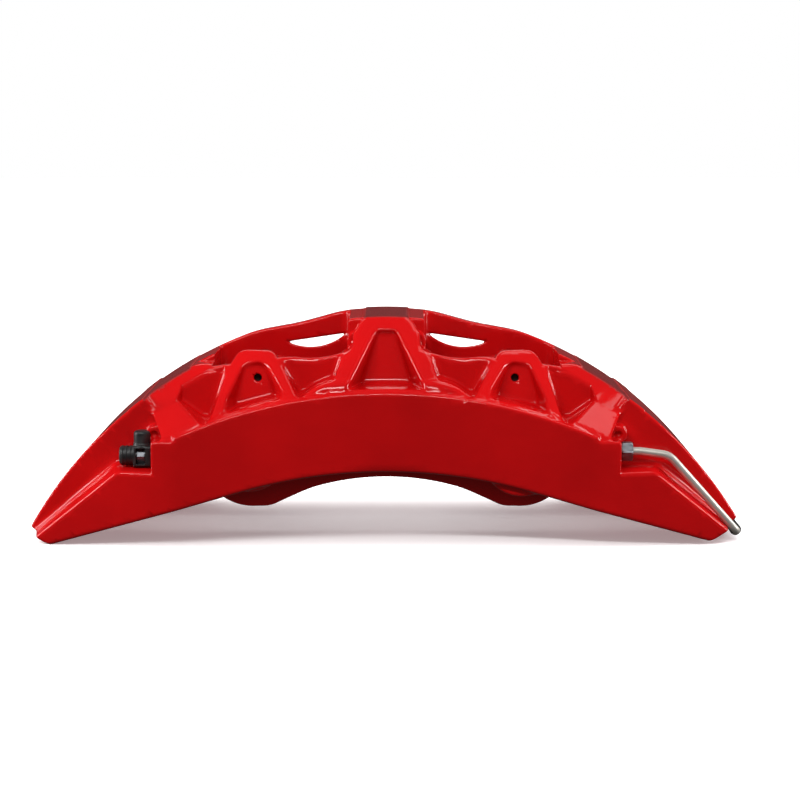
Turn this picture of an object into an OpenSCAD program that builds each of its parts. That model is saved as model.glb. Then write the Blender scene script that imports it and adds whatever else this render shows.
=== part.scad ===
// Eight-piston fixed brake caliper, one-piece casting, with pads, pins and pipework.
// Lengths are in millimetres. Every shape is laid out from the brake disc's axis, which runs
// along Y: X is along the caliper, Z points away from the disc's centre, and -Y is the outboard
// side. from_disc_axis() then moves it all to the row's origin, midway between the mounting bolts.

/* [Disc] */
// Thickness of the brake disc that the caliper straddles
disc_w = 40; // [38:0.5:40]
// Width of the slot in the casting where the disc runs
slot_w = 46; // [46:0.5:48]
// Radius of the slot's roof, above the disc's rim
slot_roof_r = 227; // [225:0.5:229]

/* [Casting] */
// Radius of the casting's outer arc
outer_r = 245; // [243:0.5:247]
// Half-angle of the casting at its left-hand tip
left_end_angle = 60.5; // [60:0.1:61]
// Half-angle of the casting at its right-hand tip, cut short for the pipe
right_end_angle = 59; // [58.6:0.1:59.2]
// Distance from the disc's middle to the outboard and inboard faces
face_y = 78; // [77:0.5:80]
// Distance from the disc's middle to the crescent plates' faces
crescent_y = 50; // [49:0.5:51]
// Distance from the disc's middle to the faces at the two tips
tip_face_y = 66; // [65:0.5:68]
// Radius of the arc along the faces' top edge
face_top_r = 300; // [296:1:304]
// Radius of the arc along the faces' bottom edge
face_low_r = 305; // [300:1:310]
// Slope of the straight underside towards the tips
underside_slope = 16.4; // [16:0.1:17]

/* [Windows] */
// Distance from the middle to a window's inner end
window_x0 = 23; // [22:0.5:25]
// Distance from the middle to a window's outer end
window_x1 = 104; // [102:0.5:106]
// Width of the raised land on the centre bridge
land_w = 27; // [24:1:30]

/* [Pistons] */
// Radius from the disc's axis to the pistons
piston_track_r = 184; // [183:0.5:185]
// Angle between neighbouring pistons
piston_pitch = 17; // [16.6:0.1:17]
// Diameter of the smallest piston, at the leading end
piston_d_min = 32; // [30:0.5:32]
// Step in diameter from one piston to the next
piston_d_step = 2; // [1.5:0.5:2]
// Length of a piston
piston_len = 30; // [28:0.5:31]
// Running clearance between a piston and its bore, on the radius
piston_clearance = 0.05; // [0.03:0.01:0.08]

/* [Pads] */
// Thickness of the friction material when new
lining_w = 11; // [10:0.5:11]
// Thickness of a pad's steel backing plate
backing_w = 6; // [5.5:0.5:6]
// Radius of a pad's outer edge
pad_outer_r = 208.5; // [207:0.5:209]
// Radius of a pad's inner edge
pad_inner_r = 153; // [152.5:0.5:156]
// Half the width of a pad
pad_half_w = 99; // [97:0.1:99]
// Diameter of a pad retaining pin
pin_d = 7; // [6:0.5:7]

/* [Mounting] */
// Distance between the two mounting bolts
mount_spacing = 240; // [238:1:242]
// Diameter of the holes for the mounting bolts
mount_hole_d = 14.2; // [12.2:0.1:14.2]
// Height of the mounting faces above the disc's axis
mount_z = 130; // [129:0.5:131]
// Distance from the disc's middle to the mounting bolts
mount_y = 73; // [73:0.5:74]

/* [Pipework] */
// Height of the crossover pipe's ports above the disc's axis
port_z = 168.5; // [168:0.5:169]
// Height of the bleed screws above the disc's axis
bleed_z = 166; // [165:0.5:167]
// Distance from the disc's middle to the fluid ports
port_y = 60; // [59.5:0.5:60.5]
// Outside diameter of the crossover pipe
pipe_d = 4.75; // [4.5:0.25:5]
// Outside diameter of the rubber sleeve on the pipe
sleeve_d = 7; // [6.5:0.5:7]
// Width across the flats of the pipe nuts
pipe_nut_af = 10.5; // [10:0.5:11]

/* [Hidden] */
SIDES = ["outer", "inner"];
PISTONS = [1:4];
$fn = 96;

big = 400;
skin = 0.01;
casting_red = [0.72, 0.05, 0.05];
steel = [0.62, 0.62, 0.62];
rubber_black = [0.1, 0.1, 0.1];

// Casting outline
face_top_z = 205.6;
face_low_z = 159.7;
underside_x = face_low_r * sin(underside_slope);
underside_z = face_low_z - face_low_r * (1 - cos(underside_slope));
fold_x = 123.5;
shoulder_z = 176.5;
notch_x = 137.5;
notch_z = 155.5;
ledge_x = 159;
ledge_slope = 40;
wing_x = 141;
cone_y = 31;
cone_face_r = 206;
window_front_y = 34;
window_rear_y = 24;
window_floor_r = 209;
rim_arc_r = 60;
rim_low_z = 222.4;
rim_x = 45.5;
rim_w = 41;
rim_relief = 9;
relief_x0 = 28;
relief_w = 37;
relief_r = 213;
sunk_y = 40;
sunk_outline = [[131, 209], [97, 214], [92, 205], [101, 186], [110, 182]];
side_crown = [[57, 223.5], [97, 217.1], [104, 216], [104, 260], [57, 260]];
middle_crown = [[11.7, 243.3], [26, 231.8], [26, 260], [11.7, 260]];
strap_x = 48;
strap_low_z = 221;
strap_arc_r = 33.3;
strap_z = 233.1;
strap_fall = 0.148;
dip_r = 110;
dip_depth = 2.5;
dip_angle = 12.9;
land_rise = 0.8;
land_depth = 6;
step_x = 97;
step_w = 10;
step_low_len = 22;
step_high_len = 20;
step_low_z = 213.8;
step_high_z = 217.2;

// Piston housings
pocket_y = 41;
pocket_r = 211;
pocket_half_w = 100.5;
bore_end_y = 70.5;
bore_wall = 3.5;
boss_r = 31.5;
flange_r = 151.8;
flange_half_w = 66;
flange_y = 57;
seal_y0 = 50;
seal_w = 3.6;
seal_h = 2.5;
dust_w = 2.6;
dust_h = 2.4;
piston_wall = 3.2;
piston_crown = 8;
seal_clearance = 0.05;
seal_bite = 0.02;
gallery_d = 3;
gallery_y = 67;

// Pads and their hardware
lining_y0 = disc_w / 2 + 0.3;
backing_y0 = lining_y0 + lining_w;
shim_y0 = backing_y0 + backing_w;
shim_w = 0.8;
pad_travel = 9;
piston_y0 = shim_y0 + shim_w + 0.1;
pad_low_z = 137;
groove_x = 32;
groove_w = 3;
groove_depth = 8;
pin_x = 76.4;
pin_z = 210.3;
pin_r = pin_d / 2;
pin_tab_r = 8;
pin_y0 = -42;
pin_y1 = 56;
pin_head_w = 3;
drift_hole_d = 4.6;
abutment_w = 1.2;
abutment_z0 = 144.5;
abutment_z1 = 184;
spring_w = 18;
spring_t = 0.8;
spring_hook_w = 12;
spring_gap = 1;
spring_z = pin_z - pin_r - spring_t;

// Mounting and pipework
mount_boss_r = 14;
mount_top_z = 177;
inlet_x = piston_track_r * sin(piston_angle(2));
inlet_z = piston_track_r * cos(piston_angle(2));
inlet_y = 84;
inlet_r = 4.5;
port_thread_r = 4.9;
port_depth = 14;
pipe_nut_len = 6.6;
nut_stem_len = 8;
screw_hex_af = 8.6;
screw_neck_r = 3.9;
screw_neck_len = 4.5;
screw_hex_len = 5;
screw_len = 18;
nipple_r = 3;
barb_r = 3.6;
barrel_r = 6;
block_len = 10;
block_w = 10.4;
block_h = 11.2;
stub_h = 15;
hex_room_r = 5.05;
window_y = 3;
pipe_corners = [[notch_x + 1.5, port_z], [150, port_z], [167.1, 166.1], [208.6, 119.6]];
pipe_bends = [0, 20, 12, 5.5];
bend_swell = 0.06;
bend_lap = 0.3;

function piston_angle(i) = (i - 2.5) * piston_pitch;
function piston_r(i) = (piston_d_min + (i - 1) * piston_d_step) / 2;
function polar(r, a) = [r * sin(a), r * cos(a)];
function side_sign(s) = s == "outer" ? -1 : 1;

// Moves a shape laid out from the disc's axis to the row's origin
module from_disc_axis() {
    translate([0, -mount_y, -mount_z]) children();
}

// Extrudes a drawing in X and Z along Y, from y0 to y1
module slab(y0, y1) {
    translate([0, y1, 0]) rotate([90, 0, 0]) linear_extrude(y1 - y0) children();
}

// A cylinder along Y, from y0 to y1
module rod_y(r, y0, y1) {
    translate([0, y0, 0]) rotate([-90, 0, 0]) cylinder(r = r, h = y1 - y0);
}

// A ring along Y
module ring_y(r_out, r_in, y0, y1) {
    difference() {
        rod_y(r_out, y0, y1);
        rod_y(r_in, y0 - 1, y1 + 1);
    }
}

// A cylinder along X, from x0 to x1
module rod_x(r, x0, x1) {
    translate([x0, 0, 0]) rotate([0, 90, 0]) cylinder(r = r, h = x1 - x0);
}

// A hexagonal bar along X with two of its flats facing up and down
module hex_x(af, x0, x1) {
    translate([x0, 0, 0]) rotate([0, 90, 0]) cylinder(d = af / cos(30), h = x1 - x0, $fn = 6);
}

// A cylinder between two points
module rod(a, b, r) {
    d = b - a;
    translate(a) rotate([0, acos(d.z / norm(d)), atan2(d.y, d.x)]) cylinder(r = r, h = norm(d));
}

module left_and_right() {
    children();
    mirror([1, 0, 0]) children();
}

module outer_and_inner() {
    children();
    mirror([0, 1, 0]) children();
}

// Places a shape at a piston's centre
module at_piston(i) {
    p = polar(piston_track_r, piston_angle(i));
    translate([p.x, 0, p.y]) children();
}

// Turns an outboard shape to the inboard side when asked
module on_side(s) {
    mirror([0, side_sign(s) > 0 ? 1 : 0, 0]) children();
}

// Everything above the faces' bottom edge and the straight underside
module above_underside() {
    drop = (big - underside_x) * tan(underside_slope);
    difference() {
        polygon([
            [-big, underside_z - drop],
            [-underside_x, underside_z],
            [-underside_x, 0],
            [underside_x, 0],
            [underside_x, underside_z],
            [big, underside_z - drop],
            [big, big],
            [-big, big]
        ]);
        translate([0, face_low_z - face_low_r]) circle(r = face_low_r, $fn = 360);
    }
}

// The sector between the two tips
module between_tips() {
    polygon([
        [0, 0],
        polar(2 * big, -left_end_angle),
        [-big, 2 * big],
        [big, 2 * big],
        polar(2 * big, right_end_angle)
    ]);
}

// Outline of the crescent plates, with the dips over the windows
module crescent_outline() {
    difference() {
        intersection() {
            circle(r = outer_r, $fn = 360);
            between_tips();
            above_underside();
        }
        for (a = [-dip_angle, dip_angle])
            translate(polar(outer_r + dip_r - dip_depth, a)) circle(r = dip_r, $fn = 180);
    }
}

// Outline of the outboard and inboard faces
module face_outline() {
    ledge_drop = (big - ledge_x) * tan(ledge_slope);
    intersection() {
        above_underside();
        between_tips();
        union() {
            intersection() {
                translate([0, face_top_z - face_top_r]) circle(r = face_top_r, $fn = 360);
                translate([-fold_x, 0]) square([2 * fold_x, big]);
            }
            translate([-notch_x, 0]) square([2 * notch_x, shoulder_z]);
            polygon([
                [-big, notch_z - ledge_drop],
                [-ledge_x, notch_z],
                [ledge_x, notch_z],
                [big, notch_z - ledge_drop],
                [big, 0],
                [-big, 0]
            ]);
        }
    }
}

// Solid whose front slopes back from the face's top edge to the outer arc
module sloped_front() {
    rotate([90, 0, 0]) rotate_extrude($fn = 360) polygon([
        [100, 20],
        [outer_r + 1, 20],
        [outer_r + 1, cone_y],
        [cone_face_r, face_y],
        [100, face_y]
    ]);
}

// The wings' faces lean back from the folds to the tips
module folded_faces() {
    tip_x = 205;
    lean = (face_y - tip_face_y) / (tip_x - fold_x);
    linear_extrude(big) polygon([
        [-big, 0],
        [-big, -face_y + lean * (big - fold_x)],
        [-fold_x, -face_y],
        [fold_x, -face_y],
        [big, -face_y + lean * (big - fold_x)],
        [big, 0]
    ]);
}

// Outlines of the three U-shaped ribs and the two end ramps
module rib_outlines() {
    polygon([
        [-11.7, outer_r + 2],
        [11.7, outer_r + 2],
        [17, 240],
        [27, 222],
        [33, 203],
        [-33, 203],
        [-27, 222],
        [-17, 240]
    ]);
    left_and_right() {
        polygon([
            [-91, 219],
            [-88, 224.5],
            [-84.5, 226],
            [-70, 226],
            [-66, 224],
            [-62.5, 218.5],
            [-52, 199],
            [-101.5, 183],
            [-101.5, 188],
            [-95, 214]
        ]);
        polygon([
            [-144, 197],
            [-136.5, 206],
            [-106, 184],
            [-110, 174],
            [-126, 174]
        ]);
    }
}

// Recesses inside the U-shaped ribs
module rib_recesses() {
    polygon([[-4, 237], [4, 237], [15, 212], [12, 208], [-12, 208], [-15, 212]]);
    left_and_right() polygon([
        [-81, 218.5],
        [-73, 219],
        [-66, 203],
        [-68, 199.5],
        [-85, 196],
        [-87, 198.5]
    ]);
}

// Flange under the pistons, with a round boss at each outermost piston
module flange_outline() {
    difference() {
        union() {
            intersection() {
                circle(r = piston_track_r, $fn = 360);
                translate([-flange_half_w, 100]) square([2 * flange_half_w, 100]);
            }
            for (i = [1, 4])
                translate(polar(piston_track_r, piston_angle(i))) circle(r = boss_r);
        }
        circle(r = flange_r, $fn = 360);
    }
}

// Pad shape, without its lugs
module pad_outline(inset) {
    intersection() {
        difference() {
            circle(r = pad_outer_r - inset, $fn = 360);
            circle(r = pad_inner_r + inset, $fn = 360);
        }
        translate([-pad_half_w + inset, pad_low_z + inset])
            square([2 * (pad_half_w - inset), big]);
    }
}

// Pocket in the casting where a pad sits, with room for its two lugs
module pad_pocket() {
    slab(-pocket_y, 1) intersection() {
        circle(r = pocket_r, $fn = 360);
        translate([-pocket_half_w, 0]) square([2 * pocket_half_w, big]);
    }
    slab(-pocket_y + 2.5, 1) left_and_right() {
        translate([pin_x, pin_z]) circle(r = pin_tab_r + 1.5);
        translate([pin_x - pin_tab_r - 1.5, pin_z - 20]) square([2 * pin_tab_r + 3, 20]);
    }
}

// One piston's bore, its two seal grooves and the drilling to its neighbour
module piston_bore(i) {
    r = piston_r(i);
    at_piston(i) {
        rod_y(r, -bore_end_y, -pocket_y + skin);
        rod_y(r + seal_h, -seal_y0 - seal_w, -seal_y0);
        rod_y(r + dust_h, -pocket_y - dust_w, -pocket_y + skin);
    }
    if (i < 4) {
        a = polar(piston_track_r, piston_angle(i));
        b = polar(piston_track_r, piston_angle(i + 1));
        rod([a.x, -gallery_y, a.y], [b.x, -gallery_y, b.y], gallery_d / 2);
    }
}

// Fluid port in a notch wall, with its drilling to the outermost bore
module end_port(z) {
    far = piston_track_r * sin(piston_angle(4));
    translate([0, -port_y, z]) {
        rod_x(port_thread_r, notch_x - port_depth, notch_x + 1);
        rod_x(gallery_d / 2, far, notch_x - port_depth + 1);
    }
}

// The outboard half of the casting, also used inboard
module casting_half() {
    difference() {
        union() {
            intersection() {
                slab(-crescent_y, -slot_w / 2) crescent_outline();
                union() {
                    sloped_front();
                    left_and_right() translate([wing_x, -100, 0]) cube([big, 100, big]);
                }
            }
            intersection() {
                slab(-face_y, -slot_w / 2) face_outline();
                folded_faces();
            }
            intersection() {
                slab(-face_y, -slot_w / 2) intersection() {
                    rib_outlines();
                    crescent_outline();
                }
                sloped_front();
            }
            slab(-flange_y, -slot_w / 2) flange_outline();
            for (i = PISTONS) at_piston(i)
                rod_y(piston_r(i) + bore_wall, -bore_end_y - bore_wall, -flange_y + 1);
        }
        slab(-face_y - 1, -crescent_y) rib_recesses();
        pad_pocket();
        for (i = PISTONS) piston_bore(i);
    }
}

// Two shallow steps at the outer end of each window
module window_steps() {
    left_and_right() {
        translate([step_x, -crescent_y - 1, step_low_z])
            cube([step_low_len, step_w + 1, big]);
        translate([step_x, -crescent_y + step_w - skin, step_high_z])
            cube([step_high_len, crescent_y - cone_y - step_w + 3, big]);
    }
}

// Windows through the bridge, over the pads, with relieved rims and a sunk pocket beside each
module windows() {
    left_and_right() {
        slab(-window_front_y, window_rear_y) difference() {
            translate([window_x0, 0]) square([window_x1 - window_x0, big]);
            circle(r = window_floor_r, $fn = 360);
        }
        slab(-crescent_y - 1, -window_front_y + 1) intersection() {
            translate([rim_x, rim_low_z + rim_arc_r]) circle(r = rim_arc_r, $fn = 180);
            translate([window_x0 - 3, 0]) square([rim_w, big]);
        }
        slab(window_rear_y - 1, crescent_y + 1) intersection() {
            translate([strap_x, strap_low_z + strap_arc_r]) circle(r = strap_arc_r, $fn = 180);
            polygon([[0, 0], [big, 0], [big, strap_z - big * strap_fall], [0, strap_z]]);
        }
        slab(-window_front_y - rim_relief, -window_front_y + 1) difference() {
            translate([relief_x0, 0]) square([relief_w, big]);
            circle(r = relief_r, $fn = 360);
        }
        slab(-crescent_y - 1, -sunk_y) polygon(sunk_outline);
        slab(-crescent_y - 1, -window_front_y + 1) difference() {
            polygon(side_crown);
            rib_outlines();
        }
        slab(-crescent_y - 1, -window_front_y + 1) difference() {
            polygon(middle_crown);
            rib_outlines();
        }
    }
}

// Bosses on the inboard side for the mounting bolts, and the hose inlet's boss
module inboard_bosses() {
    left_and_right() translate([mount_spacing / 2, mount_y, mount_z])
        cylinder(r = mount_boss_r, h = mount_top_z - mount_z);
    translate([inlet_x, 0, inlet_z]) rod_y(2 * inlet_r, face_y - 2, inlet_y);
}

module caliper_body() {
    pin_hole_r = pin_r + 0.05;
    color(casting_red) from_disc_axis() difference() {
        union() {
            outer_and_inner() casting_half();
            slab(-slot_w / 2 - skin, slot_w / 2 + skin) difference() {
                crescent_outline();
                circle(r = slot_roof_r, $fn = 360);
            }
            slab(-cone_y, cone_y) translate([-land_w / 2, outer_r - land_depth])
                square([land_w, land_depth + land_rise]);
            inboard_bosses();
        }
        windows();
        window_steps();
        outer_and_inner() {
            end_port(port_z);
            mirror([1, 0, 0]) end_port(bleed_z);
        }
        left_and_right() translate([pin_x, 0, pin_z]) {
            rod_y(pin_hole_r, pin_y0, pin_y1 + 4);
            rod_y(drift_hole_d / 2, -crescent_y - 1, pin_y0 + 1);
        }
        left_and_right() translate([mount_spacing / 2, mount_y, mount_z - 1])
            cylinder(d = mount_hole_d, h = mount_top_z - mount_z + 2);
        left_and_right() translate([mount_spacing / 2, mount_y, mount_top_z])
            cylinder(r = mount_boss_r, h = 60);
        translate([inlet_x, 0, inlet_z]) rod_y(inlet_r, bore_end_y - 1, inlet_y + 1);
    }
}

module piston(s, i) {
    r = piston_r(i) - piston_clearance;
    color(steel) from_disc_axis() on_side(s) at_piston(i) difference() {
        rod_y(r, -piston_y0 - piston_len, -piston_y0);
        rod_y(r - piston_wall, -piston_y0 - piston_len + piston_crown, -piston_y0 + 1);
    }
}

module piston_seal(s, i) {
    r = piston_r(i);
    color(rubber_black) from_disc_axis() on_side(s) at_piston(i)
        ring_y(
            r + seal_h - seal_clearance,
            r - seal_bite,
            -seal_y0 - seal_w + 2 * seal_clearance,
            -seal_y0 - 2 * seal_clearance
        );
}

module dust_seal(s, i) {
    r = piston_r(i);
    color(rubber_black) from_disc_axis() on_side(s) at_piston(i)
        ring_y(
            r + dust_h - seal_clearance,
            r + seal_bite,
            -pocket_y - dust_w + 2 * seal_clearance,
            -pocket_y - 2 * seal_clearance
        );
}

module backing_plate(s) {
    color([0.13, 0.13, 0.14]) from_disc_axis() on_side(s) difference() {
        slab(-shim_y0, -backing_y0) union() {
            pad_outline(0);
            left_and_right() {
                translate([pin_x, pin_z]) circle(r = pin_tab_r);
                translate([pin_x - pin_tab_r, pin_z - 20]) square([2 * pin_tab_r, 20]);
            }
        }
        left_and_right() translate([pin_x, 0, pin_z]) rod_y(pin_r + 0.4, -60, 0);
    }
}

module brake_lining(s) {
    color([0.3, 0.29, 0.28]) from_disc_axis() on_side(s) difference() {
        slab(-backing_y0, -lining_y0) pad_outline(2);
        translate([0, -lining_y0 - groove_depth, 0]) left_and_right()
            translate([groove_x, 0, 0]) cube([groove_w, groove_depth + 1, big]);
    }
}

module pad_shim(s) {
    color([0.5, 0.5, 0.48]) from_disc_axis() on_side(s)
        slab(-shim_y0 - shim_w, -shim_y0) pad_outline(3);
}

// Two thin steel plates that the pad's ends bear on
module abutment_plates(s) {
    color(steel) from_disc_axis() on_side(s) left_and_right()
        translate([pocket_half_w - abutment_w, -pocket_y, abutment_z0])
            cube([abutment_w, pocket_y - slot_w / 2, abutment_z1 - abutment_z0]);
}

// Pin through both pads' lugs, with a head in the inboard recess
module pad_pin(side) {
    color(steel) from_disc_axis() translate([side * pin_x, 0, pin_z]) {
        rod_y(pin_r, pin_y0 + 0.2, pin_y1);
        rod_y(pin_r + 1.5, crescent_y + 0.1, crescent_y + pin_head_w);
    }
}

// Spring clip round the pin's tail, outside its head
module pin_clip(side) {
    color(steel) from_disc_axis() translate([side * pin_x, 0, pin_z])
        ring_y(pin_r + 1.4, pin_r, crescent_y + pin_head_w + 0.2, crescent_y + pin_head_w + 1.4);
}

// Leaf spring that hangs from the pin, between the pads' lugs when they are worn
module pad_spring(side) {
    half_len = backing_y0 - pad_travel - spring_gap;
    color(steel) from_disc_axis() translate([side * pin_x, 0, 0]) {
        translate([-spring_w / 2, -half_len, spring_z])
            cube([spring_w, 2 * half_len, spring_t]);
        translate([0, 0, pin_z]) difference() {
            ring_y(pin_r + spring_t, pin_r, -spring_hook_w / 2, spring_hook_w / 2);
            translate([-spring_w, -spring_w, 0]) cube(2 * spring_w);
        }
    }
}

// Bleed screw in the left-hand notch wall
module bleed_screw(s) {
    stem = notch_x - port_depth + 1;
    hex_x0 = notch_x + screw_neck_len;
    color(steel) from_disc_axis() on_side(s) translate([0, -port_y, bleed_z]) mirror([1, 0, 0]) {
        difference() {
            union() {
                rod_x(port_thread_r, stem, notch_x + 1);
                rod_x(screw_neck_r, notch_x, hex_x0 + 1);
                hex_x(screw_hex_af, hex_x0, hex_x0 + screw_hex_len);
                rod_x(nipple_r, hex_x0 + screw_hex_len - 1, notch_x + screw_len);
                rod_x(barb_r, notch_x + screw_len - 5, notch_x + screw_len - 2.5);
            }
            rod_x(nipple_r * 0.3, stem + 4, notch_x + screw_len + 1);
        }
    }
}

// Elbow-shaped rubber dust cap that pulls off the bleed screw's nipple
module bleed_cap(s) {
    block_x0 = notch_x + 1.2;
    hex_x0 = notch_x + screw_neck_len;
    barrel_x0 = block_x0 + block_len - 1;
    barrel_x1 = notch_x + screw_len + 2;
    color(rubber_black) from_disc_axis() on_side(s) translate([0, -port_y, bleed_z])
        mirror([1, 0, 0]) difference() {
            union() {
                rod_x(barrel_r, barrel_x0, barrel_x1);
                for (x = [barrel_x1 - 6, barrel_x1 - 2.4]) rod_x(barrel_r + 0.5, x, x + 1.4);
                translate([block_x0, -block_w / 2, -block_h / 2])
                    cube([block_len, block_w, block_h]);
                translate([block_x0 + block_w / 2, 0, 0])
                    cylinder(r = block_w / 2 - 0.1, h = stub_h);
            }
            rod_x(barb_r + 0.05, notch_x, barrel_x1 - 1.6);
            rod_x(hex_room_r, notch_x, hex_x0 + screw_hex_len + 0.3);
            translate([hex_x0, -block_w, -block_h / 2 + 1])
                cube([screw_hex_len, block_w - window_y, block_h - 2]);
        }
}

// Angle of the pipe's straight that ends at corner k
function pipe_angle(k) =
    atan2(pipe_corners[k].y - pipe_corners[k - 1].y, pipe_corners[k].x - pipe_corners[k - 1].x);

// Distance from corner k to where its bend starts
function pipe_setback(k) =
    k == 0 ? 0 :
    k == 3 ? pipe_bends[k] :
    pipe_bends[k] * tan((pipe_angle(k) - pipe_angle(k + 1)) / 2);

// A point on the straight that ends at corner k, at a distance back from a corner
function pipe_point(corner, k, back) =
    [corner.x - back * cos(pipe_angle(k)), -port_y, corner.y - back * sin(pipe_angle(k))];

// Bend at corner k, in the plane of the outboard ports
module pipe_elbow(k) {
    start = pipe_point(pipe_corners[k], k, pipe_setback(k));
    r = pipe_bends[k];
    translate(start + r * [sin(pipe_angle(k)), 0, -cos(pipe_angle(k))])
        rotate([90, 0, 0]) rotate([0, 0, pipe_angle(k + 1) + 90])
            rotate_extrude(angle = pipe_angle(k) - pipe_angle(k + 1))
                translate([r, 0]) circle(d = pipe_d + bend_swell);
}

// Bend that turns the pipe inboard at the tip
module pipe_tip_bend() {
    r = pipe_bends[3];
    translate(pipe_point(pipe_corners[3], 3, r)) rotate([0, -pipe_angle(3), 0])
        translate([0, r, 0]) rotate([0, 0, -90])
            rotate_extrude(angle = 90) translate([r, 0]) circle(d = pipe_d + bend_swell);
}

// Steel pipe that joins the two halves' fluid ports round the right-hand tip
module crossover_pipe() {
    end_y = port_y - pipe_bends[3] + bend_lap;
    color([0.75, 0.73, 0.7]) from_disc_axis() {
        outer_and_inner() {
            for (k = [1:3]) rod(
                pipe_point(pipe_corners[k - 1], k, bend_lap - pipe_setback(k - 1)),
                pipe_point(pipe_corners[k], k, pipe_setback(k) - bend_lap),
                pipe_d / 2
            );
            for (k = [1:2]) pipe_elbow(k);
            pipe_tip_bend();
        }
        translate([pipe_corners[3].x, 0, pipe_corners[3].y]) rod_y(pipe_d / 2, -end_y, end_y);
    }
}

module pipe_nut(s) {
    x0 = notch_x + 1.2;
    color(steel) from_disc_axis() on_side(s) translate([0, -port_y, port_z]) difference() {
        union() {
            hex_x(pipe_nut_af, x0, x0 + pipe_nut_len);
            rod_x(port_thread_r, notch_x - nut_stem_len, x0 + skin);
        }
        rod_x(pipe_d / 2, notch_x - nut_stem_len - 1, x0 + pipe_nut_len + 1);
    }
}

// Rubber sleeve that keeps the pipe off the casting's tip
module pipe_sleeve() {
    half_len = port_y - pipe_bends[3] - 3;
    color(rubber_black) from_disc_axis() translate([pipe_corners[3].x, 0, pipe_corners[3].y])
        ring_y(sleeve_d / 2, pipe_d / 2, -half_len, half_len);
}

caliper_body();
for (s = SIDES, i = PISTONS) {
    piston(s, i);
    piston_seal(s, i);
    dust_seal(s, i);
}
for (s = SIDES) {
    backing_plate(s);
    brake_lining(s);
    pad_shim(s);
    abutment_plates(s);
    bleed_screw(s);
    bleed_cap(s);
    pipe_nut(s);
}
pad_pin(-1);  // pad_pin_left
pad_pin(1);  // pad_pin_right
pin_clip(-1);  // pin_clip_left
pin_clip(1);  // pin_clip_right
pad_spring(-1);  // pad_spring_left
pad_spring(1);  // pad_spring_right
crossover_pipe();
pipe_sleeve();
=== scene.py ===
"""Looks of a fixed eight-piston brake caliper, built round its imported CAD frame.

Shapes are worked out in millimetres from the brake disc's axis: x along the caliper, y inboard along
the axis, z away from the disc's centre. DiscAxis turns them into the row's metres.
"""

import logging
import math
from dataclasses import dataclass, field
from enum import Enum
from typing import Callable, Iterable, Sequence

import bpy
import numpy as np
import openvdb
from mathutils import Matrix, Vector

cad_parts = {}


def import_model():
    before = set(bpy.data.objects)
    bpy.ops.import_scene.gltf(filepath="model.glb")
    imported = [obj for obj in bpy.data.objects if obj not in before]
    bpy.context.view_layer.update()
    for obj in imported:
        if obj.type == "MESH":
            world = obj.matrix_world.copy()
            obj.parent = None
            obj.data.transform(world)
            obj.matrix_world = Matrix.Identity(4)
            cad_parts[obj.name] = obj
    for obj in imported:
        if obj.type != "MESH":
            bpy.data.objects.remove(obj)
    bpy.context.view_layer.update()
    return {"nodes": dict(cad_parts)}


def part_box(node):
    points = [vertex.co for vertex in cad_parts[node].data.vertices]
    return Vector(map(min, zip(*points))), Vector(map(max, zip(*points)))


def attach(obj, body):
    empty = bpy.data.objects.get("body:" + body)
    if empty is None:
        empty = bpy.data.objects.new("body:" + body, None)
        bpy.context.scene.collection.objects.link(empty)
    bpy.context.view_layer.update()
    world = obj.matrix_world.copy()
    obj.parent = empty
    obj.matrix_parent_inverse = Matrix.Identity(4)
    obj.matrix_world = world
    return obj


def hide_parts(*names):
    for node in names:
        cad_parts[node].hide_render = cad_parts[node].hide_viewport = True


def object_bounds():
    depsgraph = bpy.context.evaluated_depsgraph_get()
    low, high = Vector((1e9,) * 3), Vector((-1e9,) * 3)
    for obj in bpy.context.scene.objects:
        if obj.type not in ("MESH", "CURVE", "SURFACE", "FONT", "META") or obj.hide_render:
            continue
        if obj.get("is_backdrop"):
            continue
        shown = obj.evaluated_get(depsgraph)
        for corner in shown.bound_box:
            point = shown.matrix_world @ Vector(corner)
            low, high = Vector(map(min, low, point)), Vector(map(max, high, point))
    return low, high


LOG = logging.getLogger("caliper")
MM = 0.001

Field = Callable[[np.ndarray, np.ndarray, np.ndarray], np.ndarray]


class Side(Enum):
    """The two sides of the disc, with the sign of their y."""

    OUTER = -1
    INNER = 1

    @property
    def label(self) -> str:
        """Name of the side in node names."""
        return self.name.lower()


class Metal(Enum):
    """How a bare or plated steel piece was finished."""

    ROLLED = "rolled"
    ZINC = "zinc"
    DRAWN = "drawn"
    TURNED = "turned"
    OXIDE = "oxide"


# ---------------------------------------------------------------- distance fields


def round_max(a: np.ndarray, b: np.ndarray, k: float) -> np.ndarray:
    """Larger of two fields, with the edge between them rounded.

    Args:
        a: First field.
        b: Second field.
        k: Width over which the two are blended, in millimetres.

    Returns:
        The blended field.
    """
    gap = np.maximum(k - np.abs(a - b), 0.0)
    return np.maximum(a, b) + gap * gap * (0.25 / k)


def round_min(a: np.ndarray, b: np.ndarray, k: float) -> np.ndarray:
    """Smaller of two fields, with the corner between them filled by a fillet.

    Args:
        a: First field.
        b: Second field.
        k: Width over which the two are blended, in millimetres.

    Returns:
        The blended field.
    """
    return -round_max(-a, -b, k)


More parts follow.
